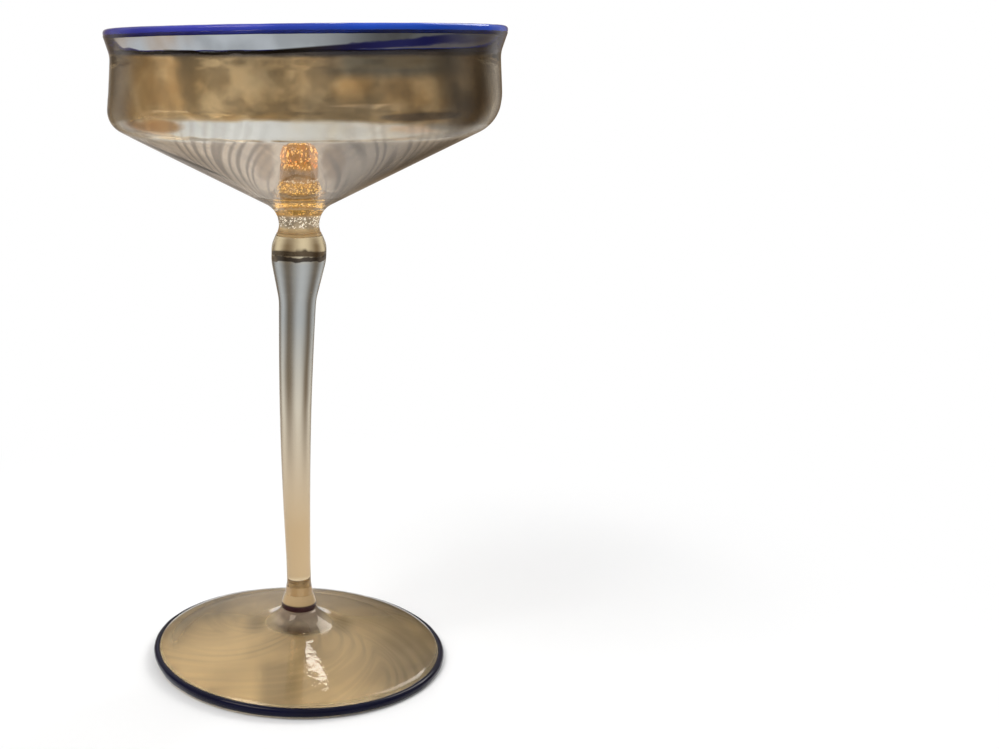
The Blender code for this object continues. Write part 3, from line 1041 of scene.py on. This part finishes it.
class COUPE_OT_bowl(Operator):
    """Blow the bowl, with its raised pip, reamy funnel and smoky wall"""

    bl_idname = "coupe.bowl"
    bl_label = "Bowl"

    def execute(self, context):
        size = context.scene.coupe_bowl
        marks = context.scene.coupe_marks
        hand = context.scene.coupe_hand
        paint = context.scene.coupe_glass
        seam = context.scene.coupe_stem.overlap
        thread = (LIP_TOP - LIP_BOTTOM) / 2
        lip = (LIP_RADIUS - thread, LIP_BOTTOM + seam)

        def funnel(radius, lift=0.0):
            drop = (size.turn_radius - radius) * tan(size.funnel_pitch)
            return size.turn_height - drop + lift / cos(size.funnel_pitch)

        inner_turn = size.turn_radius - size.wall
        inside = rounded(
            [
                (0, size.pip_height, 0),
                (size.pip_head_radius, size.pip_height, size.pip_round),
                (size.pip_foot_radius, funnel(size.pip_foot_radius, size.wall), size.pip_fillet),
                (inner_turn, funnel(inner_turn, size.turn_wall), size.turn_round),
                (size.belly_radius - size.wall, size.belly_height, 0),
                (size.waist_radius - size.wall, size.inner_waist_height, size.turn_round),
                (lip[0] - size.lip_roll, lip[1], 0),
            ]
        )
        outside = rounded(
            [
                (lip[0] + size.lip_roll, lip[1], 0),
                (size.waist_radius, size.waist_height, size.turn_round),
                (size.belly_radius, size.belly_height, 0),
                (size.turn_radius, size.turn_height, size.turn_round),
                (size.neck_radius, funnel(size.neck_radius), size.neck_round),
                (size.neck_radius, size.neck_waist, size.neck_waist_round),
                (size.neck_flare, RING_TOP - seam, 0),
                (0, RING_TOP - seam, 0),
            ]
        )
        roll = arc(lip, size.lip_roll, pi, 0)

        def ream(p):
            if p.y > size.turn_height:
                return hand.wall_ream
            return hand.funnel_ream * min(1.0, p.x / size.turn_radius + hand.neck_ream)

        material = glass_material(
            "smoky_bowl_glass",
            lambda wire: bowl_tint(wire, marks, paint),
            body=(paint.body, paint.body_density),
        )
        values = {"Reams Around": 12.0, "Reams Along": 18.0, "Twist": 14.0, "Seed": 3.0}
        profile = inside[:-1] + roll + outside[1:]
        piece = turned("bowl_glass", profile, material, values, ream, [RING_TOP - seam])
        seat(piece, "bowl_glass", "bowl")
        return {"FINISHED"}


class COUPE_OT_threads(Operator):
    """Lay the blue threads round the lip and the foot"""

    bl_idname = "coupe.threads"
    bl_label = "Threads"

    def execute(self, context):
        hand = context.scene.coupe_hand
        paint = context.scene.coupe_glass
        # Slot, node, tint on the left and on the right, share of clear glass, and seed of the reams
        places = [
            ("lip_thread", "lip_wrap", paint.violet, paint.cobalt, 0.5, 5.0),
            ("foot_thread", "foot_wrap", paint.navy, paint.navy, 0.0, 8.0),
        ]
        for slot, node, left, right, clear, seed in places:
            radius, bottom, top = node_box(node)
            thick = (top - bottom) / 2
            middle = bottom + thick
            circle = arc((radius - thick, middle), thick, pi / 2, -3 * pi / 2)
            for p in circle:
                p.y = min(p.y, middle - (middle - p.y) * hand.thread_sag)
            settings = {"Transmission Weight": clear, "Roughness": 0.03, "Specular IOR Level": 0.2}

            def tint(wire):
                plain = blend(wire, across(wire).rise(0.0, radius), left, right)
                return dimmed(wire, plain, 1 - clouds(wire, "thread") * hand.thread_cloud)

            material = glass_material(slot + "_glass", tint, settings)
            values = {"Reams Around": 7.0, "Seed": seed}
            piece = turned(slot, circle, material, values, lambda p: hand.thread_ream)
            seat(piece, slot, node)
        return {"FINISHED"}


class COUPE_OT_stem(Operator):
    """Draw the knop and the leg"""

    bl_idname = "coupe.stem"
    bl_label = "Stem"

    def execute(self, context):
        size = context.scene.coupe_stem
        hand = context.scene.coupe_hand
        paint = context.scene.coupe_glass
        head = RING_BOTTOM + size.overlap
        ankle = BUTTON_TOP - size.overlap
        profile = rounded(
            [
                (0, head, 0),
                (size.head_radius, head, 0),
                (KNOP_RADIUS, size.shoulder_height, size.shoulder_round),
                (KNOP_RADIUS, size.belly_height, size.belly_round),
                (size.leg_top_radius, size.leg_top, size.leg_top_round),
                (size.leg_waist_radius, size.leg_waist, 0),
                (size.leg_waist_radius, size.ankle_height, size.ankle_round),
                (size.ankle_radius, ankle, 0),
                (0, ankle, 0),
            ]
        )

        def tint(wire):
            by_height = tint_by_height(
                wire,
                [
                    (ankle, paint.ankle),
                    (ankle + size.ankle_pale, paint.ankle),
                    (ankle + size.ankle_pale + size.ankle_soft, paint.leg_bottom),
                    (size.tan_height, paint.leg_bottom),
                    (size.pale_height, paint.leg_middle),
                    (size.grey_height, paint.leg_top),
                    (size.grey_top, paint.leg_top),
                    (size.knop_tan, paint.knop),
                    (head, paint.knop),
                ],
            )
            wavy = height(wire) + clouds(wire, "band edge") * size.band_wave
            in_band = wavy.rise(size.band_bottom, size.band_soft) * wavy.fall(size.band_top, size.band_soft)
            band = blend(wire, clouds(wire, "band"), paint.umber, paint.rust)
            return blend(wire, in_band, by_height, band)

        material = glass_material("stem_glass", tint)
        values = {"Reams Around": 2.5, "Reams Along": 30.0, "Seed": 2.0}
        piece = turned("stem_glass", profile, material, values, lambda p: hand.leg_ream, [head, ankle])
        seat(piece, "stem_glass", "stem")
        return {"FINISHED"}


class COUPE_OT_rings(Operator):
    """Set the amber ring under the neck and the amber button over the foot"""

    bl_idname = "coupe.rings"
    bl_label = "Ring and button"

    def execute(self, context):
        size = context.scene.coupe_stem
        paint = context.scene.coupe_glass
        low = HUB_TOP - size.overlap
        ring = [
            (0, RING_TOP, 0),
            (RING_RADIUS, RING_TOP, size.ring_edge),
            (RING_RADIUS, RING_BOTTOM, size.ring_edge),
            (0, RING_BOTTOM, 0),
        ]
        button = [
            (0, BUTTON_TOP, 0),
            (size.ankle_radius, BUTTON_TOP, 0),
            (BUTTON_RADIUS, low + size.button_edge, size.button_edge),
            (BUTTON_RADIUS, low, size.button_lower_edge),
            (0, low, 0),
        ]
        # Painted shadow: the lower part of the button is dark where it meets the hub
        joint_shadow_top = low + (BUTTON_TOP - low) * size.joint_shadow_share
        plain = [(RING_BOTTOM, paint.amber), (RING_TOP, paint.amber)]
        shadowed_at_joint = [
            (low, paint.joint_shadow),
            (joint_shadow_top, paint.joint_shadow),
            (joint_shadow_top + size.joint_shadow_soft, paint.amber),
            (BUTTON_TOP, paint.amber),
        ]
        # Piece, slot, node, corners of the profile, and tints by height
        places = [
            ("neck_ring_glass", "neck_amber", "neck_ring", ring, plain),
            ("button_glass", "collar_amber", "foot_ring", button, shadowed_at_joint),
        ]
        settings = {"Transmission Weight": 0.5, "Roughness": 0.2}
        for name, slot, node, corners, stops in places:
            material = glass_material(name, lambda wire: tint_by_height(wire, stops), settings)
            faces = [corners[0][1], corners[-1][1]]
            piece = turned(name, rounded(corners), material, fused=faces)
            seat(piece, slot, node)
        return {"FINISHED"}


class COUPE_OT_foot(Operator):
    """Spread the foot, with the marks of the tools that shaped it"""

    bl_idname = "coupe.foot"
    bl_label = "Foot"

    def execute(self, context):
        size = context.scene.coupe_foot
        hand = context.scene.coupe_hand
        paint = context.scene.coupe_glass
        thread = (WRAP_TOP - WRAP_BOTTOM) / 2
        edge = WRAP_RADIUS - thread
        profile = rounded(
            [
                (0, HUB_TOP, 0),
                (size.hub_radius, HUB_TOP, 0),
                (size.skirt_radius, size.skirt_height, size.skirt_round),
                (edge - thread, size.edge_height, 0),
                (edge, WRAP_BOTTOM + thread, 0),
                (size.rest_outer, FOOT_BOTTOM + size.rest_edge, 0),
                (size.rest_outer - size.rest_edge, FOOT_BOTTOM, 0),
                (size.rest_inner, FOOT_BOTTOM, 0),
                (size.hollow_centre_radius, size.hollow_centre_height, size.hollow_centre_round),
                (0, size.hollow_centre_height, 0),
            ]
        )

        def ream(p):
            on_cone = size.skirt_radius < p.x < edge - thread and p.y > size.edge_height
            return hand.foot_ream if on_cone else 0.0

        def tint(wire):
            side = across(wire)
            back = backward(wire)
            # Painted shade: the hub is darker round the foot of the button
            on_hub = from_axis(wire).fall(size.hub_shade, size.hub_soft)
            glass = blend(wire, on_hub, paint.foot, paint.hub)
            shaded = side.rise(size.shade_place, size.shade_place) * size.shade_depth
            cloudy = clouds(wire, "foot") * size.cloud_depth
            streaks = swirls(wire, **FOOT_STREAKS) * size.streak_depth
            # Painted shade: two dark marks on either side of the hub
            abreast = back.absolute().fall(size.shade_mark_width, size.shade_mark_width)
            beside_hub_shade = side.absolute().rise(size.skirt_radius, size.shade_mark_width) * abreast
            beside_hub_shade = beside_hub_shade * side.absolute().fall(size.shade_mark_reach, size.shade_mark_width) * size.shade_mark_depth
            # Painted shade: the far side of the cone is darker
            behind = back.rise(size.skirt_radius, size.shade_place) * size.back_depth
            beside = (side + size.shade_mark_width).absolute().fall(size.shade_mark_width, size.shade_mark_width)
            in_front = beside * back.fall(-size.shade_place, size.skirt_radius) * size.leg_depth
            return dimmed(wire, glass, 1 - shaded - cloudy - streaks - beside_hub_shade - behind - in_front)

        def dents(wire):
            inputs = {"Vector": place_on(wire), "Scale": hand.dent_fineness, "Detail": 2.0}
            noise = wire.add("ShaderNodeTexNoise", inputs=inputs)
            return noise * backward(wire).fall(hand.dent_place, hand.dent_soft) * hand.dent

        pitch = (size.skirt_height - size.edge_height) / (edge - thread - size.skirt_radius)

        def frost(wire):
            cone = size.skirt_height - (from_axis(wire) - size.skirt_radius) * pitch
            return (cone - height(wire)).rise(size.skin, size.skin) * size.frost

        material = glass_material("foot_glass", tint, dents=dents, frost=frost)
        values = {"Reams Around": 4.0, "Reams Along": 260.0, "Twist": 8.0, "Seed": 6.0, "Front Only": 1.0}
        piece = turned("foot_glass", profile, material, values, ream, [HUB_TOP])
        seat(piece, "foot_glass", "foot")
        return {"FINISHED"}


class COUPE_OT_core(Operator):
    """Fill the core: amber body, gold flecks in bands and bubbles in the neck"""

    bl_idname = "coupe.core"
    bl_label = "Gold-flecked core"

    def execute(self, context):
        paint = context.scene.coupe_glass
        size = context.scene.coupe_core
        body = rounded(
            [
                (0, CORE_TOP, 0),
                (size.head_radius, CORE_TOP, size.head_round),
                (CORE_RADIUS, CORE_BOTTOM, 0),
                (0, CORE_BOTTOM, 0),
            ]
        )
        # Bottom and top of each stretch of the core, its tint and its share of the painted glow
        stretches = [
            (CORE_BOTTOM, 118.0 * MM, paint.honey, 0.3),
            (118.5 * MM, 121.8 * MM, paint.silver, 0.4),
            (122.4 * MM, 124.4 * MM, paint.brass, 0.5),
            (124.7 * MM, 125.6 * MM, paint.neck, 0.0),
            (126.0 * MM, 126.3 * MM, paint.silver, 0.0),
            (126.8 * MM, 129.9 * MM, paint.brass, 1.0),
            (130.8 * MM, 132.8 * MM, paint.bronze, 1.0),
            (133.6 * MM, CORE_TOP, paint.ember, 1.15),
        ]
        tints = []
        painted_glow_stops = []
        for bottom, top, tint, glow in stretches:
            lit = [c * glow * paint.painted_core_glow for c in tint]
            tints += [(bottom, tint), (top, tint)]
            painted_glow_stops += [(bottom, lit), (top, lit)]

        def cloudy(wire, stops):
            return dimmed(wire, tint_by_height(wire, stops), 1 - clouds(wire, "core") * size.cloud_depth)

        material = glass_material(
            "core_amber",
            lambda wire: cloudy(wire, tints),
            {"IOR": 1.01, "Transmission Weight": 0.5, "Roughness": 0.05},
            glow=lambda wire: cloudy(wire, painted_glow_stops),
            fade=lambda wire: height(wire).ease(size.fade_bottom, size.fade_top),
        )
        piece = turned("core_amber", body, material, {"Segments": size.segments})
        seat(piece, "gold_flecked_glass", "gold_core")

        metal = {"Metallic": 1.0, "Roughness": 0.3}
        gold = painted_glow_material("gold_fleck", paint.gold, paint.painted_fleck_glow, metal)
        flame = painted_glow_material("flame_fleck", paint.flame, paint.painted_fleck_glow, metal)
        brass = painted_glow_material("brass_fleck", paint.brass, paint.painted_fleck_glow, metal)
        pearl = painted_glow_material("pearl_bubble", paint.pearl, paint.painted_pearl_glow, {"Roughness": 0.12})
        tree = scatter_tree()
        # Piece, material, count, bottom, top, inner and outer radius and size in millimetres, and seed
        bands = [
            ("gold_flecks_tip", gold, 90, 139.5, 139.9, 0.2, 2.6, 0.32, 17),
            ("gold_flecks_head", gold, 230, 133.4, 138.6, 3.3, 4.1, 0.36, 11),
            ("flame_flecks_head", flame, 60, 133.6, 137.6, 3.5, 4.0, 0.42, 16),
            ("gold_flecks_waist", gold, 310, 126.5, 130.0, 3.8, 4.4, 0.30, 12),
            ("gold_flecks_neck", brass, 150, 122.4, 124.4, 3.9, 4.5, 0.30, 13),
            ("pearl_row", pearl, 110, 130.2, 130.8, 4.0, 4.5, 0.26, 14),
            ("neck_bubbles", pearl, 300, 118.4, 121.9, 3.7, 4.5, 0.22, 15),
        ]
        for name, material, count, bottom, top, inner, outer, width, seed in bands:
            chip = bpy.data.meshes.new(name)
            shape = bmesh.new()
            if material is pearl:
                bmesh.ops.create_icosphere(shape, subdivisions=1, radius=1.0)
            else:
                bmesh.ops.create_cone(shape, cap_ends=True, segments=6, radius1=1.0, radius2=0.8, depth=0.2)
            shape.to_mesh(chip)
            shape.free()
            values = {
                "Count": count,
                "Bottom": bottom * MM,
                "Top": top * MM,
                "Inner Radius": inner * MM,
                "Outer Radius": outer * MM,
                "Size": width * MM,
                "Tip": size.fleck_tip,
                "Seed": seed,
                "Material": material,
            }
            piece = grown(name, chip, tree, values)
            seat(piece, "gold_flecked_glass")
        return {"FINISHED"}


def flat_square(name, width):
    mesh = bpy.data.meshes.new(name)
    half = width / 2
    corners = [(-half, -half, 0), (half, -half, 0), (half, half, 0), (-half, half, 0)]
    mesh.from_pydata(corners, [], [(0, 1, 2, 3)])
    square = bpy.data.objects.new(name, mesh)
    bpy.context.scene.collection.objects.link(square)
    return square


def room(path, way, seen, mirrored):
    """Colour of the white room with its soft dark screens in a direction. seen is how far the screens show
    there, and mirrored how far gloss shows them all round."""
    studio = bpy.context.scene.coupe_studio
    turns = way.math("ARCTAN2", way.out("Y"), way.out("X")) * studio.shades + studio.shade_turn
    screens = 0.5 - turns.math("COSINE", turns) * 0.5
    plain = blend(way, screens * seen * studio.shade_depth, WHITE, studio.shade_colour)
    gloss = path.out("Is Reflection Ray") * path.out("Is Glossy Ray") * studio.gloss_shade
    return blend(way, gloss * mirrored, plain, studio.shade_colour)


class COUPE_OT_studio(Operator):
    """Set up the camera, the floor, the soft dark screens and the lamps"""

    bl_idname = "coupe.studio"
    bl_label = "Studio"

    def execute(self, context):
        size = context.scene.coupe_studio
        scene = context.scene
        scene.view_settings.view_transform = "Standard"
        scene.cycles.max_bounces = size.bounces
        scene.cycles.transmission_bounces = size.bounces
        scene.cycles.glossy_bounces = size.bounces

        camera = bpy.data.objects.new("camera", bpy.data.cameras.new("camera"))
        camera.location = (0, -size.camera_distance, size.camera_height)
        camera.rotation_euler = (pi / 2 - size.camera_pitch, 0, 0)
        camera.data.lens = size.camera_lens
        camera.data.sensor_width = size.camera_sensor
        camera.data.shift_x = 0.5 - size.axis_pixel / PHOTO_WIDTH
        camera.data.clip_start = size.camera_near
        scene.collection.objects.link(camera)
        scene.camera = camera

        world = bpy.data.worlds.new("studio")
        world.use_nodes = True
        world.node_tree.nodes.clear()
        wire = Wire(world.node_tree)
        path = wire.add("ShaderNodeLightPath")
        way = wire.add("ShaderNodeTexCoord", out="Generated").parts()
        low = way.out("Z").ease(size.shade_top, size.shade_full)
        in_glass = path.math("MAXIMUM", path.out("Is Glossy Ray"), path.out("Is Transmission Ray"))
        shown = path.math("MAXIMUM", path.out("Is Camera Ray"), in_glass)
        light = {
            "Color": room(path, way, low * in_glass, low),
            "Strength": shown + (1 - shown) * size.ambient,
        }
        sky = wire.add("ShaderNodeBackground", inputs=light)
        wire.add("ShaderNodeOutputWorld", inputs={"Surface": sky})
        scene.world = world

        floor = flat_square("floor", size.floor_size)
        floor.location.z = FOOT_BOTTOM - size.floor_gap
        material, wire = new_material("pale_floor")
        path = wire.add("ShaderNodeLightPath")
        reach = from_axis(wire)
        seen = reach.ease(size.shade_near, size.shade_far) * (1 - path.out("Is Camera Ray"))
        walls = room(path, place_on(wire).parts(), seen, 1.0)
        paper = wire.add("ShaderNodeBsdfDiffuse", inputs={"Color": opaque(size.floor_colour)})
        glow = wire.add("ShaderNodeEmission", inputs={"Color": walls, "Strength": 1.0})
        far = reach.ease(size.paper_inner, size.paper_outer)
        table = wire.add("ShaderNodeMixShader", inputs={0: far, 1: paper, 2: glow})
        wire.add("ShaderNodeOutputMaterial", inputs={"Surface": table})
        floor.data.materials.append(material)

        # Lamp, power in watts, width, height and place in metres
        for name, power, width, tall, place in (
            ("key", 5.0, 0.5, 0.5, Vector((-0.5, -0.4, 0.9))),
            ("back", 4.0, 0.5, 0.5, Vector((0.6, 0.6, 0.8))),
            ("glint", 0.05, 0.06, 0.024, Vector((0.08, 0.62, 0.75))),
            ("spark", 0.3, 0.08, 0.08, Vector((0.05, 0.25, 0.8))),
        ):
            lamp = bpy.data.objects.new(name, bpy.data.lights.new(name, "AREA"))
            lamp.data.energy = power
            lamp.data.shape = "RECTANGLE"
            lamp.data.size = width
            lamp.data.size_y = tall
            lamp.location = place
            aim = place - Vector((0, 0, size.lamp_aim))
            lamp.rotation_euler = aim.to_track_quat("Z", "Y").to_euler()
            scene.collection.objects.link(lamp)
        return {"FINISHED"}


class VIEW3D_PT_coupe(Panel):
    """Buttons and sizes of the coupe"""

    bl_label = "Coupe"
    bl_idname = "VIEW3D_PT_coupe"
    bl_space_type = "VIEW_3D"
    bl_region_type = "UI"
    bl_category = "Coupe"

    def draw(self, context):
        for operator in OPERATORS:
            self.layout.operator(operator.bl_idname)
        for name in GROUPS:
            group = getattr(context.scene, name)
            box = self.layout.box()
            box.label(text=group.bl_rna.description)
            for key in group.__annotations__:
                box.prop(group, key)


OPERATORS = (
    COUPE_OT_bowl,
    COUPE_OT_threads,
    COUPE_OT_core,
    COUPE_OT_rings,
    COUPE_OT_stem,
    COUPE_OT_foot,
    COUPE_OT_studio,
)
GROUPS = {
    "coupe_bowl": BowlSizes,
    "coupe_marks": BowlMarks,
    "coupe_core": CoreSizes,
    "coupe_stem": StemSizes,
    "coupe_foot": FootSizes,
    "coupe_hand": HandSizes,
    "coupe_glass": GlassColours,
    "coupe_studio": StudioSizes,
}
CLASSES = (*GROUPS.values(), *OPERATORS, VIEW3D_PT_coupe)


def register():
    for kind in CLASSES:
        bpy.utils.register_class(kind)
    for name, group in GROUPS.items():
        setattr(bpy.types.Scene, name, PointerProperty(type=group))


def unregister():
    for name in GROUPS:
        delattr(bpy.types.Scene, name)
    for kind in reversed(CLASSES):
        bpy.utils.unregister_class(kind)


def main():
    register()
    bpy.ops.coupe.studio()
    bpy.ops.coupe.bowl()
    bpy.ops.coupe.threads()
    bpy.ops.coupe.core()
    bpy.ops.coupe.rings()
    bpy.ops.coupe.stem()
    bpy.ops.coupe.foot()


if __name__ == "__main__":
    main()
